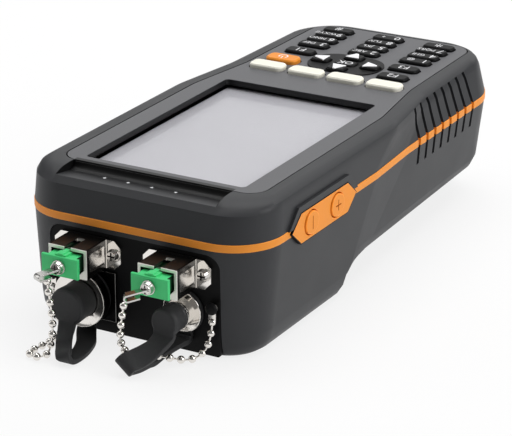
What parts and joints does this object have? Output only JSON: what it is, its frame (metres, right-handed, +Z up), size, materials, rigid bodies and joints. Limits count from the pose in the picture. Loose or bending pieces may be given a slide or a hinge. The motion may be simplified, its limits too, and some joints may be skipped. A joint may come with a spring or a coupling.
{
  "type": "handheld optical power meter",
  "caption": "Charcoal handheld fibre tester with an orange seam band, a large display, a keypad and capped optical ports on its front end.",
  "frame": {"origin": "centre of the flat underside, on the battery cover", "axes": "+Y runs from the connector end to the keypad end, +Z is up out of the display, +X is to the right with the keypad end away"},
  "size_m": [0.0847, 0.2051, 0.0495],
  "materials": {
    "charcoal_plastic": "satin moulded plastic",
    "grey_panel": "satin overlay",
    "orange_rubber": "matte rubber",
    "lens": "clear window",
    "display": "unlit panel",
    "board": "solder mask",
    "steel": "bright steel",
    "nickel": "nickel plate",
    "black_plastic": "black plastic",
    "light_pipe": "clear light pipe",
    "ceramic": "white ceramic",
    "black_rubber": "matte black rubber",
    "aluminium": "machined block",
    "battery_wrap": "shrink wrap",
    "green_plastic": "green moulded plastic",
    "ivory_rubber": "ivory key",
    "white_rubber": "white key",
    "dark_rubber": "dark key"
  },
  "bodies": {
    "housing": {"adapter_screws": "steel", "adapter_sleeves": "ceramic", "battery_cover": "charcoal_plastic", "battery_pack": "battery_wrap", "case_screws": "steel", "chain_anchors": "steel", "connector_plate": "black_plastic", "display_lens": "lens", "display_module": "display", "face_panel": "grey_panel", "key_domes": "steel", "led_lenses": "light_pipe", "lower_shell": "charcoal_plastic", "main_board": "board", "nav_bezel": "black_plastic", "optical_block": "aluminium", "pm_port": "nickel", "pm_strap": "black_rubber", "sc_adapter_left": "nickel", "sc_adapter_right": "nickel", "sc_chain_left": "steel", "sc_chain_right": "steel", "seam_band": "orange_rubber", "upper_shell": "charcoal_plastic", "vfl_port": "nickel", "vfl_strap": "black_rubber"},
    "arrow_key_down_body": {"arrow_key_down": "white_rubber"},
    "arrow_key_left_body": {"arrow_key_left": "white_rubber"},
    "arrow_key_right_body": {"arrow_key_right": "white_rubber"},
    "arrow_key_up_body": {"arrow_key_up": "white_rubber"},
    "function_key_left_body": {"function_key_left": "dark_rubber"},
    "function_key_right_1_body": {"function_key_right_1": "dark_rubber"},
    "function_key_right_2_body": {"function_key_right_2": "dark_rubber"},
    "number_key_0_body": {"number_key_0": "dark_rubber"},
    "number_key_1_body": {"number_key_1": "dark_rubber"},
    "number_key_2_body": {"number_key_2": "dark_rubber"},
    "number_key_3_body": {"number_key_3": "dark_rubber"},
    "number_key_4_body": {"number_key_4": "dark_rubber"},
    "number_key_5_body": {"number_key_5": "dark_rubber"},
    "number_key_6_body": {"number_key_6": "dark_rubber"},
    "number_key_7_body": {"number_key_7": "dark_rubber"},
    "number_key_8_body": {"number_key_8": "dark_rubber"},
    "number_key_9_body": {"number_key_9": "dark_rubber"},
    "number_key_hash_body": {"number_key_hash": "dark_rubber"},
    "number_key_star_body": {"number_key_star": "dark_rubber"},
    "ok_key_body": {"ok_key": "dark_rubber"},
    "power_key_body": {"power_key": "orange_rubber"},
    "soft_key_1_body": {"soft_key_1": "ivory_rubber"},
    "soft_key_2_body": {"soft_key_2": "ivory_rubber"},
    "soft_key_3_body": {"soft_key_3": "ivory_rubber"},
    "soft_key_4_body": {"soft_key_4": "ivory_rubber"},
    "side_key_minus_body": {"side_key_minus": "orange_rubber"},
    "side_key_plus_body": {"side_key_plus": "orange_rubber"},
    "pm_cap_body": {"pm_cap": "black_rubber"},
    "vfl_cap_body": {"vfl_cap": "black_rubber"},
    "sc_plug_left_body": {"sc_plug_left": "green_plastic", "chain_tag_left": "steel"},
    "sc_plug_right_body": {"sc_plug_right": "green_plastic", "chain_tag_right": "steel"}
  },
  "joints": [
    {"name": "arrow_key_down_press", "type": "slide", "parent": "housing", "child": "arrow_key_down_body", "axis": [0, 0, -1], "range_m": [0, 0.0007], "stiffness_N_per_m": 1500},
    {"name": "arrow_key_left_press", "type": "slide", "parent": "housing", "child": "arrow_key_left_body", "axis": [0, 0, -1], "range_m": [0, 0.0007], "stiffness_N_per_m": 1500},
    {"name": "arrow_key_right_press", "type": "slide", "parent": "housing", "child": "arrow_key_right_body", "axis": [0, 0, -1], "range_m": [0, 0.0007], "stiffness_N_per_m": 1500},
    {"name": "arrow_key_up_press", "type": "slide", "parent": "housing", "child": "arrow_key_up_body", "axis": [0, 0, -1], "range_m": [0, 0.0007], "stiffness_N_per_m": 1500},
    {"name": "function_key_left_press", "type": "slide", "parent": "housing", "child": "function_key_left_body", "axis": [0, 0, -1], "range_m": [0, 0.0007], "stiffness_N_per_m": 1500},
    {"name": "function_key_right_1_press", "type": "slide", "parent": "housing", "child": "function_key_right_1_body", "axis": [0, 0, -1], "range_m": [0, 0.0007], "stiffness_N_per_m": 1500},
    {"name": "function_key_right_2_press", "type": "slide", "parent": "housing", "child": "function_key_right_2_body", "axis": [0, 0, -1], "range_m": [0, 0.0007], "stiffness_N_per_m": 1500},
    {"name": "number_key_0_press", "type": "slide", "parent": "housing", "child": "number_key_0_body", "axis": [0, 0, -1], "range_m": [0, 0.0007], "stiffness_N_per_m": 1500},
    {"name": "number_key_1_press", "type": "slide", "parent": "housing", "child": "number_key_1_body", "axis": [0, 0, -1], "range_m": [0, 0.0007], "stiffness_N_per_m": 1500},
    {"name": "number_key_2_press", "type": "slide", "parent": "housing", "child": "number_key_2_body", "axis": [0, 0, -1], "range_m": [0, 0.0007], "stiffness_N_per_m": 1500},
    {"name": "number_key_3_press", "type": "slide", "parent": "housing", "child": "number_key_3_body", "axis": [0, 0, -1], "range_m": [0, 0.0007], "stiffness_N_per_m": 1500},
    {"name": "number_key_4_press", "type": "slide", "parent": "housing", "child": "number_key_4_body", "axis": [0, 0, -1], "range_m": [0, 0.0007], "stiffness_N_per_m": 1500},
    {"name": "number_key_5_press", "type": "slide", "parent": "housing", "child": "number_key_5_body", "axis": [0, 0, -1], "range_m": [0, 0.0007], "stiffness_N_per_m": 1500},
    {"name": "number_key_6_press", "type": "slide", "parent": "housing", "child": "number_key_6_body", "axis": [0, 0, -1], "range_m": [0, 0.0007], "stiffness_N_per_m": 1500},
    {"name": "number_key_7_press", "type": "slide", "parent": "housing", "child": "number_key_7_body", "axis": [0, 0, -1], "range_m": [0, 0.0007], "stiffness_N_per_m": 1500},
    {"name": "number_key_8_press", "type": "slide", "parent": "housing", "child": "number_key_8_body", "axis": [0, 0, -1], "range_m": [0, 0.0007], "stiffness_N_per_m": 1500},
    {"name": "number_key_9_press", "type": "slide", "parent": "housing", "child": "number_key_9_body", "axis": [0, 0, -1], "range_m": [0, 0.0007], "stiffness_N_per_m": 1500},
    {"name": "number_key_hash_press", "type": "slide", "parent": "housing", "child": "number_key_hash_body", "axis": [0, 0, -1], "range_m": [0, 0.0007], "stiffness_N_per_m": 1500},
    {"name": "number_key_star_press", "type": "slide", "parent": "housing", "child": "number_key_star_body", "axis": [0, 0, -1], "range_m": [0, 0.0007], "stiffness_N_per_m": 1500},
    {"name": "ok_key_press", "type": "slide", "parent": "housing", "child": "ok_key_body", "axis": [0, 0, -1], "range_m": [0, 0.0007], "stiffness_N_per_m": 1500},
    {"name": "power_key_press", "type": "slide", "parent": "housing", "child": "power_key_body", "axis": [0, 0, -1], "range_m": [0, 0.0007], "stiffness_N_per_m": 1500},
    {"name": "soft_key_1_press", "type": "slide", "parent": "housing", "child": "soft_key_1_body", "axis": [0, 0, -1], "range_m": [0, 0.0007], "stiffness_N_per_m": 1500},
    {"name": "soft_key_2_press", "type": "slide", "parent": "housing", "child": "soft_key_2_body", "axis": [0, 0, -1], "range_m": [0, 0.0007], "stiffness_N_per_m": 1500},
    {"name": "soft_key_3_press", "type": "slide", "parent": "housing", "child": "soft_key_3_body", "axis": [0, 0, -1], "range_m": [0, 0.0007], "stiffness_N_per_m": 1500},
    {"name": "soft_key_4_press", "type": "slide", "parent": "housing", "child": "soft_key_4_body", "axis": [0, 0, -1], "range_m": [0, 0.0007], "stiffness_N_per_m": 1500},
    {"name": "side_key_minus_press", "type": "slide", "parent": "housing", "child": "side_key_minus_body", "axis": [-1, 0, 0], "range_m": [0, 0.0006], "stiffness_N_per_m": 1500},
    {"name": "side_key_plus_press", "type": "slide", "parent": "housing", "child": "side_key_plus_body", "axis": [-1, 0, 0], "range_m": [0, 0.0006], "stiffness_N_per_m": 1500},
    {"name": "sc_plug_left_pull", "type": "slide", "parent": "housing", "child": "sc_plug_left_body", "axis": [0, -1, 0], "range_m": [0, 0.014], "deforming": ["sc_chain_left"]},
    {"name": "sc_plug_right_pull", "type": "slide", "parent": "housing", "child": "sc_plug_right_body", "axis": [0, -1, 0], "range_m": [0, 0.014], "deforming": ["sc_chain_right"]},
    {"name": "pm_cap_pull", "type": "slide", "parent": "housing", "child": "pm_cap_body", "axis": [0, -1, 0], "range_m": [0, 0.011], "deforming": ["pm_strap", "sc_chain_left"]},
    {"name": "vfl_cap_pull", "type": "slide", "parent": "housing", "child": "vfl_cap_body", "axis": [0, -1, 0], "range_m": [0, 0.006], "deforming": ["vfl_strap", "sc_chain_right"]}
  ]
}
